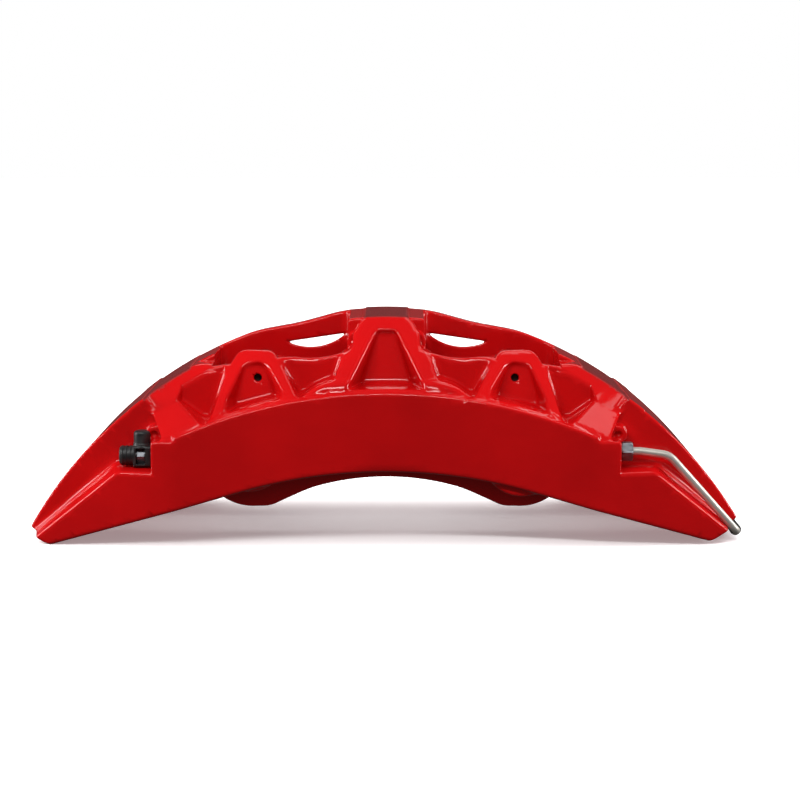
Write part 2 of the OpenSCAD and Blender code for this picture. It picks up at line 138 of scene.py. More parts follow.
def outline(points: Sequence[tuple[float, float]], u: np.ndarray, v: np.ndarray) -> np.ndarray:
    """Signed distance to a closed outline, negative inside.

    Args:
        points: Corners of the outline, in order.
        u: First coordinate of the places to measure.
        v: Second coordinate of the places to measure.

    Returns:
        The distance at each place.
    """
    nearest = np.full(np.broadcast(u, v).shape, 1e12, dtype=np.float32)
    inside = np.zeros(nearest.shape, dtype=bool)
    for (ax, az), (bx, bz) in zip(points, (*points[1:], points[0])):
        ex, ez = bx - ax, bz - az
        along = np.clip(((u - ax) * ex + (v - az) * ez) / (ex * ex + ez * ez), 0.0, 1.0)
        nearest = np.minimum(nearest, (u - ax - along * ex) ** 2 + (v - az - along * ez) ** 2)
        if ez != 0.0:
            crosses = ((az > v) != (bz > v)) & (u < (v - az) * (ex / ez) + ax)
            inside ^= crosses
    return np.where(inside, -1.0, 1.0).astype(np.float32) * np.sqrt(nearest)


def disc(u: np.ndarray, v: np.ndarray, centre: tuple[float, float], r: float) -> np.ndarray:
    """Signed distance to a circle.

    Args:
        u: First coordinate.
        v: Second coordinate.
        centre: The circle's centre.
        r: The circle's radius.

    Returns:
        The distance, negative inside.
    """
    return np.hypot(u - centre[0], v - centre[1]) - r


def gradient(shape: Field, points: np.ndarray, step: float) -> np.ndarray:
    """Slope of a field at scattered points.

    Args:
        shape: The field.
        points: Points, one per row.
        step: Half the distance between the two samples on each axis.

    Returns:
        One vector per point.
    """
    slopes = []
    for axis in range(3):
        shift = np.zeros(3, dtype=np.float32)
        shift[axis] = step
        ahead = shape(*(points + shift).T)
        behind = shape(*(points - shift).T)
        slopes.append((ahead - behind) / (2.0 * step))
    return np.stack(slopes, axis=1)


@dataclass(frozen=True)
class DiscAxis:
    """Place of the brake disc's axis in the row's frame, worked out from the outermost pistons."""

    track_r: float = 184.0
    pitch: float = math.radians(17.0)

    def origin(self) -> np.ndarray:
        """Point of the disc's axis midway between the two halves, in metres."""
        low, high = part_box("piston_outer_1")
        far_low, far_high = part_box("piston_inner_4")
        middle = (low + high + far_low + far_high) / 4
        rise = self.track_r * MM * math.cos(1.5 * self.pitch)
        return np.array([0.0, middle.y, middle.z - rise])

    def piston(self, number: int) -> tuple[float, float]:
        """Centre of a piston in x and z.

        Args:
            number: The piston's number, counted from the leading end.

        Returns:
            Its x and z in millimetres.
        """
        angle = (number - 2.5) * self.pitch
        return self.track_r * math.sin(angle), self.track_r * math.cos(angle)

    def metres(self, points: np.ndarray) -> np.ndarray:
        """Points in the row's frame.

        Args:
            points: Points in millimetres from the disc's axis.

        Returns:
            The same points in metres.
        """
        return np.asarray(points, dtype=np.float64) * MM + self.origin()


# ---------------------------------------------------------------- meshes


def piece_from(
    name: str, points: np.ndarray, faces: Iterable[Sequence[int]], crease: float = 35.0
) -> bpy.types.Object:
    """Makes an object from points in metres.

    Args:
        name: The piece's name.
        points: Vertices in metres.
        faces: Faces as vertex numbers.
        crease: Angle in degrees above which an edge stays sharp.

    Returns:
        The new object.
    """
    mesh = bpy.data.meshes.new(name)
    mesh.from_pydata(np.asarray(points).tolist(), [], [list(f) for f in faces])
    mesh.validate()
    mesh.shade_smooth()
    mesh.set_sharp_from_angle(angle=math.radians(crease))
    made = bpy.data.objects.new(name, mesh)
    bpy.context.scene.collection.objects.link(made)
    return made


def grow(
    name: str, shape: Field, low: Sequence[float], high: Sequence[float], voxel: float,
    axis: DiscAxis, merge: float = 0.0,
) -> tuple[bpy.types.Object, np.ndarray]:
    """Makes a piece from a distance field and settles its vertices on the true surface.

    Args:
        name: The piece's name.
        shape: The field, in millimetres from the disc's axis.
        low: Lowest corner of the space to search.
        high: Highest corner of that space.
        voxel: Size of the grid's cells.
        axis: The disc's axis.
        merge: How readily flat stretches become larger faces, from 0 to 1.

    Returns:
        The object, and its vertices in millimetres.
    """
    spans = [np.arange(a, b, voxel, dtype=np.float32) for a, b in zip(low, high)]
    x, y, z = np.meshgrid(*spans, indexing="ij", sparse=True)
    values = np.broadcast_to(shape(x, y, z), [len(s) for s in spans])
    values = np.ascontiguousarray(np.clip(values / voxel, -3.0, 3.0), dtype=np.float32)
    grid = openvdb.FloatGrid(3.0)
    grid.copyFromArray(values)
    found, triangles, quads = grid.convertToPolygons(isovalue=0.0, adaptivity=merge)
    points = found.astype(np.float32) * voxel + np.array(low, dtype=np.float32)
    for _ in range(3):
        slope = gradient(shape, points, 0.05)
        size = np.maximum((slope * slope).sum(axis=1, keepdims=True), 0.05)
        move = shape(*points.T)[:, None] * slope / size
        points = points - np.clip(move, -0.5 * voxel, 0.5 * voxel).astype(np.float32)
    slope = gradient(shape, points, 0.2)
    normals = slope / np.maximum(np.linalg.norm(slope, axis=1, keepdims=True), 1e-6)
    made = piece_from(name, axis.metres(points), [*triangles, *quads], 180.0)
    made.data.normals_split_custom_set_from_vertices(normals.tolist())
    return made, points


def turned(
    name: str, profile: Sequence[tuple[float, float]], start: Sequence[float], along: Sequence[float],
    axis: DiscAxis, flats: float = 0.0, steps: int = 72, closed: bool = False,
) -> bpy.types.Object:
    """Turns a profile round a line, as on a lathe, and mills a hexagon on it if asked.

    Args:
        name: The piece's name.
        profile: Pairs of distance along the line and radius.
        start: Where the line starts, in millimetres from the disc's axis.
        along: Direction of the line.
        axis: The disc's axis.
        flats: Width across the hexagon's flats, or 0 for a round piece.
        steps: Number of points round each ring.
        closed: Whether the last ring joins the first, as on a tube or a ring.

    Returns:
        The new object.
    """
    line = Vector(along).normalized()
    across = line.orthogonal().normalized()
    if abs(line.x) > 0.9:
        across = Vector((0, 0, 1))
    over = line.cross(across)
    angles = np.linspace(0, 2 * math.pi, steps, endpoint=False)
    sector = (angles + math.pi / 6) % (math.pi / 3) - math.pi / 6
    hexagon = flats / 2 / np.cos(sector) if flats else np.full(steps, 1e9)
    rings = []
    for distance, radius in profile:
        r = np.minimum(radius, hexagon)
        ring = np.outer(r * np.cos(angles), across) + np.outer(r * np.sin(angles), over)
        rings.append(ring + np.array(start) + np.array(line) * distance)
    points = np.concatenate(rings)
    count = len(profile)
    pairs = [(k, (k + 1) % count) for k in range(count if closed else count - 1)]
    faces = [
        (a * steps + i, a * steps + (i + 1) % steps, b * steps + (i + 1) % steps, b * steps + i)
        for a, b in pairs
        for i in range(steps)
    ]
    if not closed:
        faces.append(tuple(range(steps))[::-1])
        faces.append(tuple(range((count - 1) * steps, count * steps)))
    return piece_from(name, axis.metres(points), faces)


def swept(
    name: str, path: np.ndarray, r: float, axis: DiscAxis, steps: int = 28
) -> bpy.types.Object:
    """Sweeps a circle along a path.

    Args:
        name: The piece's name.
        path: Points of the centreline, in millimetres from the disc's axis.
        r: Radius of the circle.
        axis: The disc's axis.
        steps: Number of points round the circle.

    Returns:
        The new object.
    """
    ahead = np.gradient(path, axis=0)
    ahead /= np.linalg.norm(ahead, axis=1, keepdims=True)
    side = np.cross(ahead[0], [0.3, 0.5, 0.8])
    angles = np.linspace(0, 2 * math.pi, steps, endpoint=False)
    rings = []
    for place, way in zip(path, ahead):
        side = side - way * (side @ way)
        side = side / np.linalg.norm(side)
        up = np.cross(way, side)
        rings.append(place + r * (np.outer(np.cos(angles), side) + np.outer(np.sin(angles), up)))
    count = len(path)
    faces = [
        (k * steps + i, k * steps + (i + 1) % steps, (k + 1) * steps + (i + 1) % steps, (k + 1) * steps + i)
        for k in range(count - 1)
        for i in range(steps)
    ]
    faces.append(tuple(range(steps))[::-1])
    faces.append(tuple(range((count - 1) * steps, count * steps)))
    return piece_from(name, axis.metres(np.concatenate(rings)), faces)


# ---------------------------------------------------------------- shader graph


class Wire:
    """One output of a shader node. Arithmetic on it adds Math nodes."""

    def __init__(self, graph: "Graph", socket: bpy.types.NodeSocket) -> None:
        """Keeps the graph and the socket.

        Args:
            graph: The graph the node is in.
            socket: The node's output.
        """
        self.graph = graph
        self.socket = socket

    def _math(self, operation: str, first: "Wire | float", second: "Wire | float") -> "Wire":
        """Adds one Math node."""
        return self.graph.add("ShaderNodeMath", {"operation": operation}, {0: first, 1: second})

    def __add__(self, other: "Wire | float") -> "Wire":
        """Sum."""
        return self._math("ADD", self, other)

    __radd__ = __add__

    def __mul__(self, other: "Wire | float") -> "Wire":
        """Product."""
        return self._math("MULTIPLY", self, other)

    __rmul__ = __mul__

    def __sub__(self, other: "Wire | float") -> "Wire":
        """Difference."""
        return self._math("SUBTRACT", self, other)

    def __rsub__(self, other: "Wire | float") -> "Wire":
        """Difference from a number."""
        return self._math("SUBTRACT", other, self)

    def __gt__(self, other: "Wire | float") -> "Wire":
        """One where this is larger, zero elsewhere."""
        return self._math("GREATER_THAN", self, other)


class Graph:
    """Builds one material's nodes."""

    def __init__(self, name: str) -> None:
        """Starts a material with a Principled shader.

        Args:
            name: The material's name.
        """
        self.material = bpy.data.materials.new(name)
        self.material.use_nodes = True
        self.tree = self.material.node_tree
        self.shader = self.tree.nodes["Principled BSDF"]
        self.place = self.add("ShaderNodeTexCoord", output="Object")

    def add(
        self, kind: str, settings: dict | None = None, inputs: dict | None = None, output: int | str = 0
    ) -> Wire:
        """Adds a node.

        Args:
            kind: The node's type.
            settings: Properties of the node, set first; "stops" holds a ramp's places and colours.
            inputs: Values or wires for its sockets, by name or number.
            output: Which output to return.

        Returns:
            The chosen output.
        """
        node = self.tree.nodes.new(kind)
        for key, value in (settings or {}).items():
            if key == "stops":
                self._ramp(node, value)
            else:
                setattr(node, key, value)
        for key, value in (inputs or {}).items():
            if isinstance(value, Wire):
                self.tree.links.new(value.socket, node.inputs[key])
            else:
                node.inputs[key].default_value = value
        return Wire(self, node.outputs[output])

    def _ramp(self, node: bpy.types.Node, stops: Sequence[tuple[float, float]]) -> None:
        """Sets a grey ramp's stops from pairs of place and value."""
        ramp = node.color_ramp
        for index, (place, value) in enumerate(stops):
            stop = ramp.elements[index] if index < 2 else ramp.elements.new(place)
            stop.position = place
            stop.color = (value, value, value, 1.0)

    def noise(self, scale: float, detail: float = 3.0, stretch: Sequence[float] = (1, 1, 1)) -> Wire:
        """Fractal noise in the object's own space.

        Args:
            scale: Cells per metre.
            detail: Number of octaves.
            stretch: Factor on each axis.

        Returns:
            The noise's value.
        """
        where = self.add("ShaderNodeMapping", None, {"Vector": self.place, "Scale": tuple(stretch)})
        return self.add("ShaderNodeTexNoise", None, {"Vector": where, "Scale": scale, "Detail": detail})

    def ramp(self, value: Wire, low: float, high: float) -> Wire:
        """Spreads the values between two limits over 0 to 1.

        Args:
            value: The value.
            low: Value that becomes 0.
            high: Value that becomes 1.

        Returns:
            The spread value.
        """
        return self.add("ShaderNodeMapRange", None, {"Value": value, "From Min": low, "From Max": high})

    def blend(self, factor: Wire, first: Sequence[float] | Wire, second: Sequence[float] | Wire) -> Wire:
        """Mixes two colours.

        Args:
            factor: Share of the second colour.
            first: First colour.
            second: Second colour.

        Returns:
            The mixed colour.
        """
        ends = [c if isinstance(c, Wire) else (*c, 1.0) for c in (first, second)]
        settings = {"data_type": "RGBA"}
        return self.add("ShaderNodeMix", settings, {0: factor, 6: ends[0], 7: ends[1]}, output=2)

    def bump(self, height: Wire, strength: float, distance: float, under: Wire | None = None) -> Wire:
        """Adds a bump.

        Args:
            height: The height.
            strength: Share of the effect.
            distance: Height in metres of a value of 1.
            under: A bump that this one lies on.

        Returns:
            The bumped normal.
        """
        inputs = {"Height": height, "Strength": strength, "Distance": distance}
        if under is not None:
            inputs["Normal"] = under
        return self.add("ShaderNodeBump", None, inputs)

    def finish(self, fixed: dict, varying: dict[str, Wire]) -> bpy.types.Material:
        """Sets the Principled shader's sockets.

        Args:
            fixed: Numbers and colours that are the same all over.
            varying: Wires for what changes over the surface.

        Returns:
            The material.
        """
        for key, value in fixed.items():
            self.shader.inputs[key].default_value = value
        for key, wire in varying.items():
            self.tree.links.new(wire.socket, self.shader.inputs[key])
        return self.material


@dataclass(frozen=True)
class CastPaint:
    """Gloss red paint over a sand casting, rough where it lies on an unmachined land, with painted shade
    darkening its hollows.
    """

    red: tuple[float, float, float] = (0.60, 0.004, 0.005)
    # Deep red for the paint's random cloudy tone, and also the colour of the painted shade in hollows.
    deep_red_and_shade: tuple[float, float, float] = (0.50, 0.003, 0.004)
    land: tuple[float, float, float] = (0.12, 0.007, 0.007)
    wet: float = 0.11

    def make(self) -> bpy.types.Material:
        """Builds the material."""
        g = Graph("cast_paint")
        rough_land = g.add("ShaderNodeAttribute", {"attribute_name": "land"}, output="Fac")
        # How deep each vertex lies in a hollow; used below to paint shade there.
        hollow = g.add("ShaderNodeAttribute", {"attribute_name": "hollow"}, output="Fac")
        cloud = g.ramp(g.noise(22.0, 4.0), 0.3, 0.7)
        grain = g.noise(1500.0, 4.0)
        sand = g.noise(420.0, 5.0)
        skin = g.noise(95.0, 3.0)
        paint = g.blend(cloud, self.red, self.deep_red_and_shade)
        # Painted shade: hollows are darkened towards the deep red.
        painted_hollow_shade = g.blend(hollow * 0.45, paint, self.deep_red_and_shade)
        speckle = g.ramp(grain, 0.35, 0.75)
        dull = g.blend(speckle, self.land, (0.2, 0.014, 0.014))
        colour = g.blend(rough_land, painted_hollow_shade, dull)
        shine = self.wet + cloud * 0.05 + rough_land * 0.75
        relief = g.bump(skin, 0.35, 0.0006)
        relief = g.bump(sand, 0.22, 0.00016, relief)
        relief = g.bump(grain * rough_land, 0.9, 0.0007, relief)
        fixed = {"Specular IOR Level": 0.22, "Coat Roughness": 0.03, "Coat IOR": 1.35}
        varying = {
            "Base Color": colour, "Roughness": shine, "Normal": relief,
            "Coat Weight": 0.45 - rough_land * 0.45,
        }
        return g.finish(fixed, varying)


@dataclass(frozen=True)
class BareMetal:
    """Steel or aluminium with a worked surface."""

    metal: Metal
    tone: tuple[float, float, float]
    roughness: float = 0.3
    stretch: tuple[float, float, float] = (1.0, 1.0, 1.0)
    metallic: float = 1.0

    def make(self) -> bpy.types.Material:
        """Builds the material."""
        g = Graph(f"metal_{self.metal.value}")
        stain = g.ramp(g.noise(130.0, 4.0), 0.32, 0.72)
        lines = g.noise(900.0, 2.0, self.stretch)
        pits = g.noise(2600.0, 3.0)
        worn = tuple(0.62 * c for c in self.tone)
        colour = g.blend(stain * 0.7, self.tone, worn)
        shine = self.roughness + stain * 0.16 + lines * 0.08
        relief = g.bump(lines, 0.35, 0.00005)
        relief = g.bump(pits, 0.18, 0.00006, relief)
        varying = {"Base Color": colour, "Roughness": shine, "Normal": relief}
        return g.finish({"Metallic": self.metallic}, varying)


@dataclass(frozen=True)
class MouldedRubber:
    """Black rubber, dusty on the high spots."""

    name: str
    tone: tuple[float, float, float] = (0.012, 0.012, 0.013)
    roughness: float = 0.42

    def make(self) -> bpy.types.Material:
        """Builds the material."""
        g = Graph(self.name)
        dust = g.ramp(g.noise(240.0, 5.0), 0.48, 0.8)
        grain = g.noise(1900.0, 3.0)
        colour = g.blend(dust * 0.5, self.tone, (0.055, 0.052, 0.05))
        shine = self.roughness + dust * 0.2
        relief = g.bump(grain, 0.3, 0.00008)
        relief = g.bump(g.noise(420.0, 2.0), 0.2, 0.0002, relief)
        varying = {"Base Color": colour, "Roughness": shine, "Normal": relief}
        return g.finish({"Specular IOR Level": 0.45}, varying)


@dataclass(frozen=True)
class PowderCoat:
    """Black powder coat with a fine orange peel, rubbed to steel in places."""

    tone: tuple[float, float, float] = (0.018, 0.018, 0.02)

    def make(self) -> bpy.types.Material:
        """Builds the material."""
        g = Graph("powder_coat")
        rubbed = g.ramp(g.noise(75.0, 6.0), 0.66, 0.72)
        peel = g.noise(1100.0, 2.0)
        colour = g.blend(rubbed, self.tone, (0.21, 0.2, 0.19))
        relief = g.bump(peel, 0.4, 0.00012)
        varying = {
            "Base Color": colour, "Roughness": 0.46 - rubbed * 0.12,
            "Metallic": rubbed * 0.8, "Normal": relief,
        }
        return g.finish({}, varying)


@dataclass(frozen=True)
class FrictionCompound:
    """Pressed brake lining: grey resin with graphite and brass flecks."""

    base: tuple[float, float, float] = (0.085, 0.08, 0.075)

    def make(self) -> bpy.types.Material:
        """Builds the material."""
        g = Graph("friction_compound")
        cells = g.add("ShaderNodeTexVoronoi", None, {"Vector": g.place, "Scale": 900.0}, output="Color")
        pick = g.add("ShaderNodeSeparateColor", None, {"Color": cells})
        brass = pick > 0.93
        dark = g.ramp(g.noise(700.0, 4.0), 0.42, 0.6)
        mixed = g.blend(dark, self.base, (0.025, 0.024, 0.024))
        colour = g.blend(brass, mixed, (0.42, 0.27, 0.11))
        relief = g.bump(g.noise(1300.0, 4.0), 0.6, 0.00018)
        varying = {"Base Color": colour, "Metallic": brass * 0.9}
        varying |= {"Roughness": 0.86 - brass * 0.45, "Normal": relief}
        return g.finish({}, varying)


@dataclass
class Finishes:
    """The materials, made once and shared."""

    paint: bpy.types.Material = field(default_factory=lambda: CastPaint().make())
    piston: bpy.types.Material = field(
        default_factory=lambda: BareMetal(Metal.TURNED, (0.34, 0.34, 0.36), 0.34, (0.2, 6, 0.2)).make()
    )
    stainless: bpy.types.Material = field(
        default_factory=lambda: BareMetal(Metal.ROLLED, (0.62, 0.61, 0.59), 0.27, (0.3, 5, 0.3)).make()
    )
    zinc: bpy.types.Material = field(
        default_factory=lambda: BareMetal(Metal.ZINC, (0.24, 0.25, 0.27), 0.4, (4, 1, 1)).make()
    )
    pipe: bpy.types.Material = field(
        default_factory=lambda: BareMetal(Metal.DRAWN, (0.78, 0.73, 0.66), 0.34, (1, 1, 1), 0.7).make()
    )
    dark_steel: bpy.types.Material = field(
        default_factory=lambda: BareMetal(Metal.OXIDE, (0.05, 0.048, 0.046), 0.5, (1, 4, 1)).make()
    )
    seal: bpy.types.Material = field(
        default_factory=lambda: MouldedRubber("seal_rubber", roughness=0.55).make()
    )
    cap: bpy.types.Material = field(default_factory=lambda: MouldedRubber("cap_rubber").make())
    powder: bpy.types.Material = field(default_factory=lambda: PowderCoat().make())
    lining: bpy.types.Material = field(default_factory=lambda: FrictionCompound().make())


def dress(piece: bpy.types.Object, material: bpy.types.Material) -> bpy.types.Object:
    """Gives a piece its one material.

    Args:
        piece: The piece.
        material: The material.

    Returns:
        The piece.
    """
    piece.data.materials.clear()
    piece.data.materials.append(material)
    return piece


def fit(
    piece: bpy.types.Object, body: str, slot: str, material: bpy.types.Material, *nodes: str
) -> bpy.types.Object:
    """Dresses a new piece, sets it on its body and hides the CAD nodes it stands for.

    Args:
        piece: The piece.
        body: The CAD body it rides on.
        slot: The record's material slot; not used.
        material: Its material.
        nodes: CAD nodes it replaces.

    Returns:
        The piece.
    """
    dress(piece, material)
    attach(piece, body)
    if nodes:
        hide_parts(*nodes)
    LOG.info("%s: %d faces on %s", piece.name, len(piece.data.polygons), body)
    return piece


# ---------------------------------------------------------------- the casting


@dataclass
class Casting:
    """The one-piece casting, as a distance field with cast fillets."""

    axis: DiscAxis
    outer_r: float = 245.0
    ends: tuple[float, float] = (60.5, 59.0)
    face_y: float = 78.0
    crescent_y: float = 50.0
    lean: float = 0.147
    fold_x: float = 123.5
    face_top: tuple[float, float] = (205.6, 300.0)
    face_low: tuple[float, float] = (158.8, 305.0)
    underside_slope: float = math.radians(16.4)
    shoulder: tuple[float, float] = (137.5, 176.5)
    ledge: tuple[float, float] = (158.0, 158.5)
    ledge_slope: float = math.radians(40.0)
    wing_edge: tuple[float, float] = (143.1, 195.8)
    cone: tuple[float, float, float, float] = (246.0, 31.0, 206.0, 78.0)
    slot_w: float = 46.0
    slot_roof_r: float = 227.0
    flange_r: float = 151.8
    flange_half_w: float = 66.0
    flange_y: float = 57.0
    lobe_r: float = 31.5
    pocket: tuple[float, float, float] = (41.0, 211.0, 100.5)
    pin: tuple[float, float] = (76.4, 210.3)
    piston_radii: tuple[float, ...] = (16.0, 17.0, 18.0, 19.0)
    bore_end_y: float = 70.5
    bore_wall: float = 3.5
    port_y: float = 60.0
    port_z: tuple[float, float] = (166.0, 168.5)
    mount: tuple[float, float, float, float] = (120.0, 73.0, 130.0, 177.0)
    middle_rib: tuple = ((-11.7, 247), (11.7, 247), (17, 240), (27, 222),
                         (33, 203), (-33, 203), (-27, 222), (-17, 240))
    side_rib: tuple = ((-84, 219), (-71, 219), (-66.5, 213), (-57.5, 198), (-61, 184), (-95, 182),
                       (-96, 188), (-88.5, 212))
    ramp: tuple = ((-144, 197), (-136.5, 206), (-106, 184), (-110, 170), (-126, 170))
    middle_recess: tuple = ((-3.4, 234.5), (3.4, 234.5), (13.5, 203), (-13.5, 203))
    side_recess: tuple = ((-80.2, 213.0), (-76.4, 213.4), (-72, 203), (-71, 193.5),
                          (-84, 189.5), (-84.5, 198))
    plank: tuple[float, float, float] = (0.2227, 0.5198, 0.8248)
    plank_reach: float = 214.6
    tuck: float = 3.5
    sunk_x: tuple[float, float, float] = (92.0, 127.0, 5.0)
    port_r: float = 5.0
    port_x: float = 123.5
    bolt_r: float = 7.1
    boss_r: float = 14.0
    rib_corner: float = 7.0
    sunk_y: float = 40.0

    def lower_edge(self, ax: np.ndarray, z: np.ndarray) -> np.ndarray:
        """How far a place lies below the casting's underside."""
        top, r = self.face_low
        slope = self.underside_slope
        turn = r * math.sin(slope)
        height = top - r * (1 - math.cos(slope))
        arc = r - np.hypot(ax, z - (top - r))
        line = (height - z) * math.cos(slope) - (ax - turn) * math.sin(slope)
        return np.where(ax < turn, arc, line)

    def outside_tips(self, x: np.ndarray, z: np.ndarray) -> np.ndarray:
        """How far a place lies beyond the plane that ends the casting at its tip."""
        angle = np.radians(np.where(x < 0, self.ends[0], self.ends[1])).astype(np.float32)
        return np.abs(x) * np.cos(angle) - z * np.sin(angle)

    def plan(self, x: np.ndarray, z: np.ndarray) -> np.ndarray:
        """Outline of the whole casting seen along the disc's axis, without the flange."""
        ax = np.abs(x)
        r = np.hypot(x, z)
        lean = math.radians(12.9)
        dip = -disc(ax, z, (352.5 * math.sin(lean), 352.5 * math.cos(lean)), 110.0)
        rim = round_max(r - self.outer_r, dip, 5.0)
        land = round_max(ax - 13.6, r - self.outer_r - 0.8, 1.0)
        end_land = np.maximum(disc(ax, z, (136.9, 204.6), 22.0), r - self.outer_r - 0.35)
        rim = np.minimum(np.minimum(rim, land), end_land)
        return round_max(rim, self.outside_tips(x, z), 2.0)

    def front(self, x: np.ndarray, ay: np.ndarray, z: np.ndarray) -> np.ndarray:
        """The sloped plates and ribs on one side, before the face block is added."""
        ax = np.abs(x)
        r = np.hypot(x, z)
        r0, y0, r1, y1 = self.cone
        run = math.hypot(r0 - r1, y1 - y0)
        cone = ((r - r0) * (y1 - y0) + (ay - y0) * (r0 - r1)) / run
        tucked = ay - self.face_y + self.tuck
        cone = round_max(cone, tucked, 2.0)
        px, py, pz = self.plank
        plank = px * ax + py * ay + pz * z - self.plank_reach
        rib = np.minimum(outline(self.middle_rib, x, z), outline(self.side_rib, -ax, z) - self.rib_corner)
        ramp = round_max(outline(self.ramp, -ax, z), plank, 2.0)
        ramp = round_max(ramp, tucked, 2.0)
        first, last, fade = self.sunk_x
        sink = np.clip((ax - first) / fade, 0.0, 1.0) * np.clip((last - ax) / fade, 0.0, 1.0)
        level = self.crescent_y - (self.crescent_y - self.sunk_y) * sink
        plate = round_min(ay - level, rib, 4.5)
        sloped = round_min(round_max(cone, plate, 2.0), ramp, 3.0)
        top, face_r = self.face_top
        buried = face_r - np.hypot(x, z - (top - face_r)) - 3.0
        sloped = np.maximum(sloped, np.minimum(buried, self.shoulder[0] - 3.5 - ax))
        edge_x, edge_z = self.wing_edge
        inside = (edge_x - ax) * 0.663 + (z - edge_z) * 0.749 - 2.0
        wing = round_max(ay - self.crescent_y, inside, 2.0)
        return round_min(sloped, wing, 3.0)

    def face(self, x: np.ndarray, ay: np.ndarray, z: np.ndarray) -> np.ndarray:
        """The plain face block with its folds, shoulder and ledge."""
        ax = np.abs(x)
        top, r = self.face_top
        arc = np.maximum(np.hypot(x, z - (top - r)) - r, ax - self.fold_x)
        shoulder = round_max(z - self.shoulder[1], ax - self.shoulder[0], 1.6)
        fall = math.tan(self.ledge_slope)
        slope = (z - self.ledge[1] + (ax - self.ledge[0]) * fall) * math.cos(self.ledge_slope)
        bevel = (self.face_y - 8.0 - ay) * 0.17
        ledge = round_max(z - self.ledge[1] - bevel * 0.5, slope - bevel, 2.0)
        crown = np.minimum(round_min(arc, shoulder, 4.0), ledge)
        ahead = round_max(ay - self.face_y, (ay - self.face_y + (ax - self.fold_x) * self.lean) * 0.989, 0.8)
        return round_max(crown, ahead, 2.0)

    def flange(self, ax: np.ndarray, z: np.ndarray) -> np.ndarray:
        """Outline of the flange and its lobes under the pistons."""
        r = np.hypot(ax, z)
        lobe = disc(ax, z, self.axis.piston(4), self.lobe_r)
        bar = np.maximum(np.maximum(self.flange_r - r, ax - self.flange_half_w), r - 184.0)
        both = round_min(bar, lobe, 12.0)
        return round_max(both, self.flange_r - 0.6 - r, 3.0)

    def recesses(self, x: np.ndarray, ay: np.ndarray, z: np.ndarray) -> np.ndarray:
        """Space inside the U-shaped ribs, with drafted walls and a leaning back."""
        ax = np.abs(x)
        r = np.hypot(x, z)
        top, face_r = self.face_top
        above_shelf = 1.6 - (np.hypot(x, z - (top - face_r)) - face_r)
        depth = ay - 46.0 + 0.28 * (r - 208.0)
        middle = round_max(outline(self.middle_recess, x, z) - 2.5 - depth * 0.26, -depth, 2.5)
        depth = ay - 50.0 + 0.25 * (r - 208.0)
        side = round_max(outline(self.side_recess, -ax, z) - 5.2 - depth * 0.28, -depth, 2.5)
        return round_max(np.minimum(middle, side), above_shelf, 3.0)

    def windows(self, x: np.ndarray, y: np.ndarray, z: np.ndarray) -> np.ndarray:
        """The two windows, their scooped front rims, the slots under the rear straps and the steps."""
        ax = np.abs(x)
        r = np.hypot(x, z)
        opening = round_max(np.abs(ax - 63.5) - 40.5, np.abs(y + 5.0) - 29.0, 7.0)
        opening = np.maximum(opening, 209.0 - r)
        scoop = round_max(disc(ax, z, (45.5, 282.4), 60.0), np.abs(ax - 40.5) - 20.5, 3.0)
        scoop = np.maximum(scoop, np.abs(y + 42.0) - 10.0)
        under_strap = disc(ax, z + (y - 24.0) * 0.17, (48.0, 254.3), 33.3)
        strap = round_max(under_strap, (z - 224.2 - (60.3 - ax) * 0.148) * 0.989, 1.5)
        strap = np.maximum(strap, np.abs(y - 37.5) - 14.5)
        relief = np.maximum(np.abs(ax - 44.0) - 17.0, np.maximum(213.0 - r, np.abs(y + 38.0) - 6.0))
        opening = round_min(opening, relief, 2.0)
        low_step = np.maximum(np.maximum(np.abs(ax - 108.0) - 11.0, 213.8 - z), np.abs(y + 46.0) - 6.0)
        high_step = np.maximum(np.maximum(np.abs(ax - 107.0) - 10.0, 217.2 - z), np.abs(y + 30.0) - 11.0)
        off_rib = self.rib_corner - outline(self.side_rib, -ax, z)
        side_crown = np.maximum(off_rib, 223.5 - (ax - 57.0) * 0.16 - z)
        side_crown = np.maximum(side_crown, np.abs(ax - 80.0) - 24.0)
        middle_crown = np.maximum(-outline(self.middle_rib, x, z), 243.0 - (ax - 12.0) * 0.8 - z)
        middle_crown = np.maximum(middle_crown, ax - 30.0)
        crown = np.maximum(np.minimum(side_crown, middle_crown), np.abs(y + 45.0) - 14.5)
        gaps = round_min(round_min(opening, scoop, 2.0), strap, 1.5)
        gaps = round_min(gaps, crown, 2.0)
        return np.minimum(gaps, round_min(low_step, high_step, 1.5))

